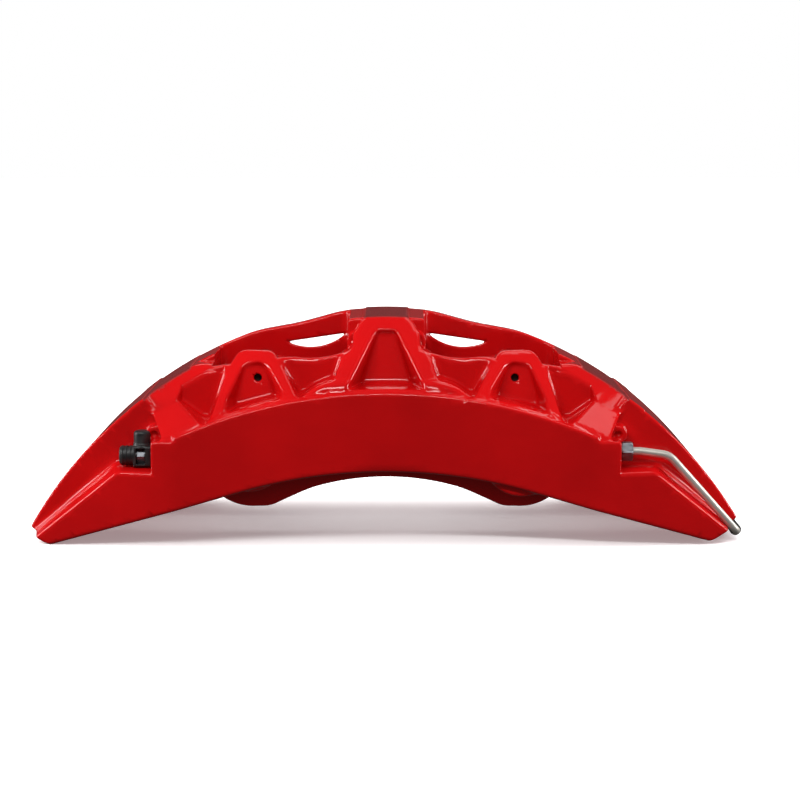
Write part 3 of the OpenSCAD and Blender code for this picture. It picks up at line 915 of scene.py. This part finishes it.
    def sockets(self, x: np.ndarray, y: np.ndarray, z: np.ndarray) -> np.ndarray:
        """Everything machined or cored: slot, pad pockets, bores, ports and bolt holes."""
        ax, ay = np.abs(x), np.abs(y)
        r = np.hypot(x, z)
        hollow = round_max(ay - self.slot_w / 2, r - self.slot_roof_r, 6.0)
        depth, roof, half = self.pocket
        room = round_max(np.maximum(r - roof, ax - half), ay - depth, 2.5)
        below_pin = np.maximum(np.abs(ax - self.pin[0]) - 9.5, np.abs(z - 200.3) - 10.0)
        lug = np.minimum(disc(ax, z, self.pin, 8.5), below_pin)
        hollow = np.minimum(np.minimum(hollow, room), np.maximum(lug, ay - depth + 2.5))
        for number, radius in enumerate(self.piston_radii, 1):
            centre = self.axis.piston(number)
            bore = np.maximum(disc(x, z, centre, radius + 0.25), ay - self.bore_end_y)
            groove = np.maximum(disc(x, z, centre, radius + 2.5), ay - 43.7)
            hollow = np.minimum(hollow, np.minimum(bore, groove))
        pin_hole = np.maximum(disc(ax, z, self.pin, 3.75), np.abs(y - 9.0) - 51.0)
        drift = np.maximum(disc(ax, z, self.pin, 2.3), np.abs(y + 48.0) - 8.0)
        port_height = np.where(x < 0, self.port_z[0], self.port_z[1]).astype(np.float32)
        port = np.maximum(np.hypot(ay - self.port_y, z - port_height) - self.port_r, self.port_x - ax)
        port = np.maximum(port, ax - self.shoulder[0] - 1.0)
        mx, my, mz, mt = self.mount
        bolt = np.hypot(ax - mx, y - my)
        bolt_hole = np.maximum(bolt - self.bolt_r, mz - 1.0 - z)
        seat = np.maximum(bolt - self.boss_r, mt - z)
        inlet = np.maximum(disc(x, z, self.axis.piston(2), 4.5), np.abs(y - 78.0) - 8.0)
        for gap in (pin_hole, drift, port, bolt_hole, seat, inlet):
            hollow = np.minimum(hollow, gap)
        return hollow

    def shape(self, x: np.ndarray, y: np.ndarray, z: np.ndarray) -> np.ndarray:
        """The casting's distance field."""
        ax, ay = np.abs(x), np.abs(y)
        solid = round_min(self.front(x, ay, z), self.face(x, ay, z), 3.5)
        boss = np.minimum(disc(ax, z, self.axis.piston(3), 29.5), disc(ax, z, self.axis.piston(4), 31.5))
        solid = round_min(solid, round_max(boss, ay - self.face_y + 4.0, 6.0), 2.5)
        curl = np.hypot(ax - 136.8, z - 178.2) - 3.7
        rolled = round_max(np.abs(curl) - 1.5, np.abs(ay - 55.5) - 5.5, 1.2)
        curl = round_min(rolled, round_max(curl, np.abs(ay - 54.0) - 4.5, 1.0), 2.0)
        solid = round_min(solid, curl, 1.8)
        solid = round_max(solid, self.lower_edge(ax, z), 2.5)
        under = round_max(self.flange(ax, z), ay - self.flange_y, 2.5)
        solid = round_min(solid, under, 4.0)
        solid = round_max(solid, self.plan(x, z), 2.0)
        for number, radius in enumerate(self.piston_radii, 1):
            housing = disc(x, z, self.axis.piston(number), radius + self.bore_wall)
            housing = round_max(housing, ay - self.bore_end_y - self.bore_wall, 2.0)
            solid = round_min(solid, np.maximum(housing, self.flange_y - 1.0 - ay), 2.5)
        solid = round_max(solid, -self.recesses(x, ay, z), 2.4)
        mx, my, mz, mt = self.mount
        bolt_boss = np.maximum(np.hypot(ax - mx, y - my) - self.boss_r, np.maximum(mz - z, z - mt))
        inlet_boss = np.maximum(disc(x, z, self.axis.piston(2), 9.0), np.maximum(70.0 - y, y - 84.0))
        solid = round_min(solid, np.minimum(bolt_boss, inlet_boss), 2.5)
        solid = round_max(solid, -self.windows(x, y, z), 2.0)
        return round_max(solid, -self.sockets(x, y, z), 0.9)

    def masks(self, points: np.ndarray) -> dict[str, np.ndarray]:
        """Where the surface is a rough land, and where shade is painted into a hollow.

        Args:
            points: Vertices in millimetres from the disc's axis.

        Returns:
            One value per vertex for each mask.
        """
        x, y, z = points.T
        r = np.hypot(x, z)
        angle = np.degrees(np.arctan2(np.abs(x), z))
        on_rim = np.clip((r - self.outer_r + 1.3) / 0.9, 0.0, 1.0)
        middle = np.clip(13.8 - np.abs(x), 0.0, 1.0) * np.clip(31.5 - np.abs(y), 0.0, 1.0)
        ends = np.clip((angle - 28.6) * 3.0, 0.0, 1.0) * np.clip((36.3 - angle) * 3.0, 0.0, 1.0)
        # The hollow mask is for painted shade: it is high where a step out from the surface stays close to
        # it.
        around = 1.2
        slope = gradient(self.shape, points, 0.3)
        slope /= np.maximum(np.linalg.norm(slope, axis=1, keepdims=True), 1e-6)
        outward = self.shape(*(points + slope * around).T) / around
        return {
            "land": (on_rim * np.maximum(middle, ends)).astype(np.float32),
            "hollow": np.clip((1.0 - outward) * 2.2, 0.0, 1.0).astype(np.float32),
        }

    def build(self, finishes: Finishes) -> None:
        """Builds the casting's mesh and dresses it."""
        voxel = 0.85
        low, high = (-218.0, -82.0, 106.0), (216.0, 88.0, 249.0)
        made, points = grow("caliper_casting", self.shape, low, high, voxel, self.axis, 0.02)
        for name, values in self.masks(points).items():
            made.data.attributes.new(name, "FLOAT", "POINT").data.foreach_set("value", values)
        fit(made, "caliper", "casting", finishes.paint, "caliper_body")


# ---------------------------------------------------------------- fluid fittings


@dataclass
class BleedGroup:
    """Bleed screw and its rubber cap, one on each side at the leading end."""

    axis: DiscAxis
    wall_x: float = 137.5
    y: float = 60.0
    z: float = 166.0

    def screw(self, side: Side, finishes: Finishes) -> None:
        """Builds one bleed screw: thread, neck, hexagon, barbed nipple with its bore."""
        profile = [(-13.0, 0.9), (-13.0, 3.6), (-12.0, 4.6)]
        for turn in range(11):
            profile += [(-11.6 + turn, 4.85), (-11.1 + turn, 4.3)]
        profile += [(0.2, 4.4), (0.6, 3.9), (4.4, 3.9)]
        start = (-self.wall_x, side.value * self.y, self.z)
        name = f"bleed_screw_{side.label}_body"
        hexed = [(4.4, 3.9), (4.5, 4.3), (5.0, 5.0), (9.0, 5.0), (9.5, 4.3), (9.6, 3.0)]
        nipple = [(12.6, 2.9), (13.0, 3.6), (15.4, 3.0), (17.7, 2.6), (18.0, 2.2), (18.0, 0.9), (4.0, 0.9)]
        made = turned(name, profile + hexed + nipple, start, (-1, 0, 0), self.axis, 8.6, closed=True)
        fit(made, f"bleed_screw_{side.label}", "zinc_steel", finishes.zinc, f"bleed_screw_{side.label}")

    def cap(self, side: Side, finishes: Finishes) -> None:
        """Builds one cap: a ribbed barrel over the nipple, a block round the hexagon and an upright stub."""
        outward = side.value

        def rubber(x: np.ndarray, y: np.ndarray, z: np.ndarray) -> np.ndarray:
            """Distance field of the cap."""
            u = -x - self.wall_x
            v = (y - outward * self.y) * outward
            w = z - self.z
            tube = np.hypot(v, w)
            rings = 0.28 * np.clip(np.cos((u - 13.2) * (2 * math.pi / 2.4)), 0, 1) * (u > 12.0) * (u < 18.6)
            barrel = round_max(tube - 5.7 - rings, np.abs(u - 14.4) - 5.4, 1.6)
            block = round_max(np.maximum(np.abs(u - 6.0) - 5.4, np.abs(w) - 6.0), np.abs(v) - 5.9, 1.4)
            stub = round_max(np.hypot(u - 6.4, v) - 5.05, np.abs(w - 7.0) - 8.0, 2.4)
            lip = np.maximum(np.abs(np.hypot(u - 6.4, v) - 5.0) - 0.25, np.abs(w - 6.6) - 0.5)
            solid = round_min(round_min(block, stub, 1.2), round_min(barrel, lip, 0.6), 0.9)
            room = np.maximum(tube - 5.05, np.abs(u - 5.2) - 4.7)
            throat = np.maximum(tube - 3.65, np.abs(u - 9.0) - 9.0)
            sight = round_max(np.maximum(np.abs(u - 7.1) - 2.6, np.abs(w) - 4.6), -v + 2.6, 0.8)
            return round_max(solid, -np.minimum(np.minimum(room, throat), sight), 0.5)

        low = (-self.wall_x - 21.5, outward * self.y - 7.5, self.z - 8.0)
        high = (-self.wall_x - 0.2, outward * self.y + 7.5, self.z + 17.0)
        voxel = 0.33
        made, _ = grow(f"bleed_cap_{side.label}_rubber", rubber, low, high, voxel, self.axis, 0.0)
        fit(made, f"bleed_cap_{side.label}", "cap_rubber", finishes.cap, f"bleed_cap_{side.label}")

    def build(self, finishes: Finishes) -> None:
        """Builds both screws and caps."""
        for side in Side:
            self.screw(side, finishes)
            self.cap(side, finishes)


@dataclass
class Pipework:
    """Crossover pipe, its two nuts and the rubber sleeve at the tip."""

    axis: DiscAxis
    wall_x: float = 137.5
    y: float = 60.0
    z: float = 168.5
    pipe_d: float = 4.75
    corners: tuple = ((150.0, 168.5, 20.0), (167.1, 166.1, 12.0), (208.6, 119.6, 5.5))

    def path(self) -> np.ndarray:
        """Centreline of the pipe, from one port to the other."""
        start = np.array([self.wall_x - 7.0, -self.y, self.z])
        bends = [(np.array([x, -self.y, z]), r) for x, z, r in self.corners]
        tip = self.corners[-1]
        turn_back = (np.array([tip[0], self.y, tip[1]]), tip[2])
        bends = [*bends, turn_back, *[(p * [1, -1, 1], r) for p, r in bends[-2::-1]]]
        stops = [start, *[p for p, _ in bends], start * [1, -1, 1]]
        line = [start]
        for before, (corner, r), after in zip(stops, bends, stops[2:]):
            back = (before - corner) / np.linalg.norm(before - corner)
            ahead = (after - corner) / np.linalg.norm(after - corner)
            half = math.acos(float(np.clip(back @ ahead, -1, 1))) / 2
            reach = r / math.tan(half)
            inward = (back + ahead) / np.linalg.norm(back + ahead)
            middle = corner + inward * (r / math.sin(half))
            first = corner + back * reach - middle
            last = corner + ahead * reach - middle
            sweep = math.pi - 2 * half
            for share in np.linspace(0, 1, 13):
                a, b = math.sin((1 - share) * sweep), math.sin(share * sweep)
                line.append(middle + (first * a + last * b) / math.sin(sweep))
        line.append(stops[-1])
        return np.array(line)

    def nut(self, side: Side, finishes: Finishes) -> None:
        """Builds one pipe nut: thread, collar, chamfered hexagon and the hole the pipe passes through."""
        profile = [(-8.0, 2.45), (-8.0, 4.2), (-7.4, 4.8)]
        for turn in range(6):
            profile += [(-7.0 + turn, 4.85), (-6.5 + turn, 4.35)]
        profile += [(-0.6, 4.2), (1.1, 4.2), (1.2, 5.3), (1.8, 6.3)]
        profile += [(7.1, 6.3), (7.8, 5.2), (7.9, 3.3), (7.5, 2.45)]
        start = (self.wall_x, side.value * self.y, self.z)
        made = turned(f"pipe_nut_{side.label}_hex", profile, start, (1, 0, 0), self.axis, 10.5, closed=True)
        fit(made, "caliper", "zinc_steel", finishes.zinc, f"pipe_nut_{side.label}")

    def sleeve(self, finishes: Finishes) -> None:
        """Builds the rubber sleeve with its rolled ends."""
        half = self.y - self.corners[-1][2] - 3.0
        inner = self.pipe_d / 2 + 0.02
        profile = [(-half, inner), (-half, 3.1), (-half + 0.4, 3.5), (-half + 2.2, 3.5), (-half + 2.6, 3.35)]
        profile += [(half - 2.6, 3.35), (half - 2.2, 3.5), (half - 0.4, 3.5), (half, 3.1), (half, inner)]
        start = (self.corners[-1][0], 0.0, self.corners[-1][1])
        made = turned("pipe_sleeve_rubber", profile, start, (0, 1, 0), self.axis, closed=True)
        fit(made, "caliper", "cap_rubber", finishes.cap, "pipe_sleeve")

    def build(self, finishes: Finishes) -> None:
        """Builds the pipe and what is on it."""
        made = swept("crossover_pipe_tube", self.path(), self.pipe_d / 2, self.axis)
        fit(made, "caliper", "pipe", finishes.pipe, "crossover_pipe")
        for side in Side:
            self.nut(side, finishes)
        self.sleeve(finishes)


# ---------------------------------------------------------------- carried CAD nodes


@dataclass
class CarriedNodes:
    """CAD nodes whose shape is right. Their edges are broken with a small bevel."""

    nodes: dict[str, bpy.types.Object]

    def dress_all(self, start: str, material: bpy.types.Material, bevel: float) -> None:
        """Gives every shown node whose name starts so its material and its broken edges.

        Args:
            start: Start of the nodes' names.
            material: The material.
            bevel: Width of the bevel in millimetres.
        """
        for name, node in self.nodes.items():
            if name.startswith(start) and not node.hide_render:
                dress(node, material)
                weld = node.modifiers.new("weld", "WELD")
                weld.merge_threshold = 1e-6
                edge = node.modifiers.new("broken_edges", "BEVEL")
                edge.width = bevel * MM
                edge.segments = 2
                edge.limit_method = "ANGLE"
                edge.angle_limit = math.radians(40)
                edge.harden_normals = False
                LOG.info("%s: carried over with %s", name, material.name)

    def build(self, finishes: Finishes) -> None:
        """Dresses every carried node."""
        table = (
            ("piston_seal_", finishes.seal, 0.15),
            ("dust_seal_", finishes.seal, 0.15),
            ("piston_", finishes.piston, 0.4),
            ("backing_plate_", finishes.powder, 0.5),
            ("brake_lining_", finishes.lining, 0.8),
            ("pad_shim_", finishes.stainless, 0.1),
            ("abutment_plates_", finishes.stainless, 0.15),
            ("pad_pin_", finishes.dark_steel, 0.4),
            ("pin_clip_", finishes.stainless, 0.2),
            ("pad_spring_", finishes.stainless, 0.1),
        )
        for start, material, bevel in table:
            self.dress_all(start, material, bevel)


# ---------------------------------------------------------------- studio


@dataclass
class Studio:
    """Camera, lights and floor."""

    axis: DiscAxis
    target: tuple[float, float, float] = (8.1, 0.0, 190.5)
    distance: float = 1.3
    elevation: float = math.radians(8.0)
    lens: float = 94.8
    floor_wash: float = 2.6
    surround: tuple[float, float] = (0.12, 0.95)
    reflected: float = 0.05
    aim: tuple[float, float, float] = (0.0, -0.07, 0.04)
    boxes: tuple = (
        ("front_key", (-0.25, -1.15, 1.15), (1.3, 0.18), 13.8),
        ("top_box", (0.42, 0.36, 1.25), (0.5, 0.4), 1.0),
        ("rear_strip", (0.15, 0.95, 0.85), (1.6, 0.12), 1.5),
        ("left_strip", (-1.3, -0.1, 0.4), (0.2, 0.8), 11.0),
        ("right_strip", (1.3, -0.1, 0.4), (0.2, 0.8), 11.0),
    )

    def camera(self) -> None:
        """Sets the camera in front of the outboard face."""
        data = bpy.data.cameras.new("front_camera")
        data.lens = self.lens
        data.sensor_width = 36.0
        made = bpy.data.objects.new("front_camera", data)
        bpy.context.scene.collection.objects.link(made)
        look = Vector((0, math.cos(self.elevation), -math.sin(self.elevation)))
        aim = Vector(self.axis.metres(np.array(self.target)))
        made.location = aim - look * self.distance
        made.rotation_euler = look.to_track_quat("-Z", "Y").to_euler()
        bpy.context.scene.camera = made

    def softbox(
        self, name: str, place: Sequence[float], aim: Sequence[float], size: Sequence[float], power: float
    ) -> None:
        """Adds one softbox.

        Args:
            name: The light's name.
            place: Where it hangs, in metres.
            aim: Where it points.
            size: Its width and height.
            power: Its power in watts.
        """
        data = bpy.data.lights.new(name, "AREA")
        data.shape = "RECTANGLE"
        data.size, data.size_y = size
        data.energy = power
        made = bpy.data.objects.new(name, data)
        bpy.context.scene.collection.objects.link(made)
        made.location = place
        made.rotation_euler = (Vector(aim) - Vector(place)).to_track_quat("-Z", "Y").to_euler()

    def room(self) -> None:
        """White surround for the camera, with a dim lower half for the reflections."""
        world = bpy.data.worlds.new("white_room")
        bpy.context.scene.world = world
        world.use_nodes = True
        tree = world.node_tree
        tree.nodes.clear()
        kinds = ("TexCoord", "SeparateXYZ", "MapRange", "ValToRGB", "LightPath")
        place, split, half, ramp, ray = (tree.nodes.new(f"ShaderNode{kind}") for kind in kinds)
        kinds = ("Mix", "Mix", "Background", "OutputWorld")
        dim, mix, back, out = (tree.nodes.new(f"ShaderNode{kind}") for kind in kinds)
        half.inputs["From Min"].default_value = -1.0
        for stop, position, level in zip(ramp.color_ramp.elements, (0.5, 1.0), self.surround):
            stop.position = position
            stop.color = (level, level, level, 1)
        for choice, level in ((dim, self.reflected), (mix, 1.0)):
            choice.data_type = "RGBA"
            choice.inputs[7].default_value = (level, level, level, 1.0)
        joins = (
            (place.outputs["Generated"], split.inputs[0]),
            (split.outputs["Z"], half.inputs["Value"]),
            (half.outputs[0], ramp.inputs[0]),
            (ray.outputs["Is Camera Ray"], mix.inputs[0]),
            (ray.outputs["Is Glossy Ray"], dim.inputs[0]),
            (ramp.outputs[0], dim.inputs[6]),
            (dim.outputs[2], mix.inputs[6]),
            (mix.outputs[2], back.inputs["Color"]),
            (back.outputs[0], out.inputs["Surface"]),
        )
        for source, target in joins:
            tree.links.new(source, target)

    def floor(self, height: float) -> None:
        """Lays the pale floor, which glows faintly pink all over as painted bounce light lifting its shadow.

        Args:
            height: Height of the lowest point of the caliper, in metres.
        """
        half = 6.0
        points = np.array([[x * half, y * half, height] for x, y in ((-1, -1), (1, -1), (1, 1), (-1, 1))])
        made = piece_from("floor", points, [(0, 1, 2, 3)])
        g = Graph("pale_floor")
        tone = g.blend(g.noise(3.0, 2.0), (0.93, 0.93, 0.93), (0.95, 0.95, 0.95))
        fixed = {"Roughness": 0.9, "Specular IOR Level": 0.0}
        # Painted light: a faint pink glow over the whole floor stands in for red light thrown back from the
        # caliper into its shadow.
        fixed |= {"Emission Color": (1.0, 0.84, 0.86, 1.0), "Emission Strength": 0.3}
        dress(made, g.finish(fixed, {"Base Color": tone}))
        made.visible_glossy = False
        made.visible_diffuse = False
        made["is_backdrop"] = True
        lit = bpy.data.collections.new("floor_only")
        lit.objects.link(made)
        data = bpy.data.lights.new("floor_wash", "SUN")
        data.energy = self.floor_wash
        data.angle = math.radians(100.0)
        wash = bpy.data.objects.new("floor_wash", data)
        bpy.context.scene.collection.objects.link(wash)
        wash.rotation_euler = (math.radians(-12.0), 0.0, 0.0)
        wash.light_linking.receiver_collection = lit

    def build(self) -> None:
        """Builds the camera, the lights and the room."""
        bpy.context.scene.view_settings.view_transform = "Standard"
        self.camera()
        for name, place, size, power in self.boxes:
            self.softbox(name, place, self.aim, size, power)
        self.room()


def corners(box: tuple[Vector, Vector]) -> list[list[float]]:
    """Two corners as plain lists."""
    return [list(corner) for corner in box]


def main() -> None:
    """Builds the caliper's looks round the frame."""
    logging.basicConfig(level=logging.INFO, format="%(message)s")
    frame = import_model()
    axis = DiscAxis()
    studio = Studio(axis)
    studio.build()
    finishes = Finishes()
    for group in (Casting(axis), BleedGroup(axis), Pipework(axis), CarriedNodes(frame["nodes"])):
        group.build(finishes)
        LOG.info("%s done", type(group).__name__)
    visual_box = corners(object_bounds())
    studio.floor(visual_box[0][2])


if __name__ == "__main__":
    main()
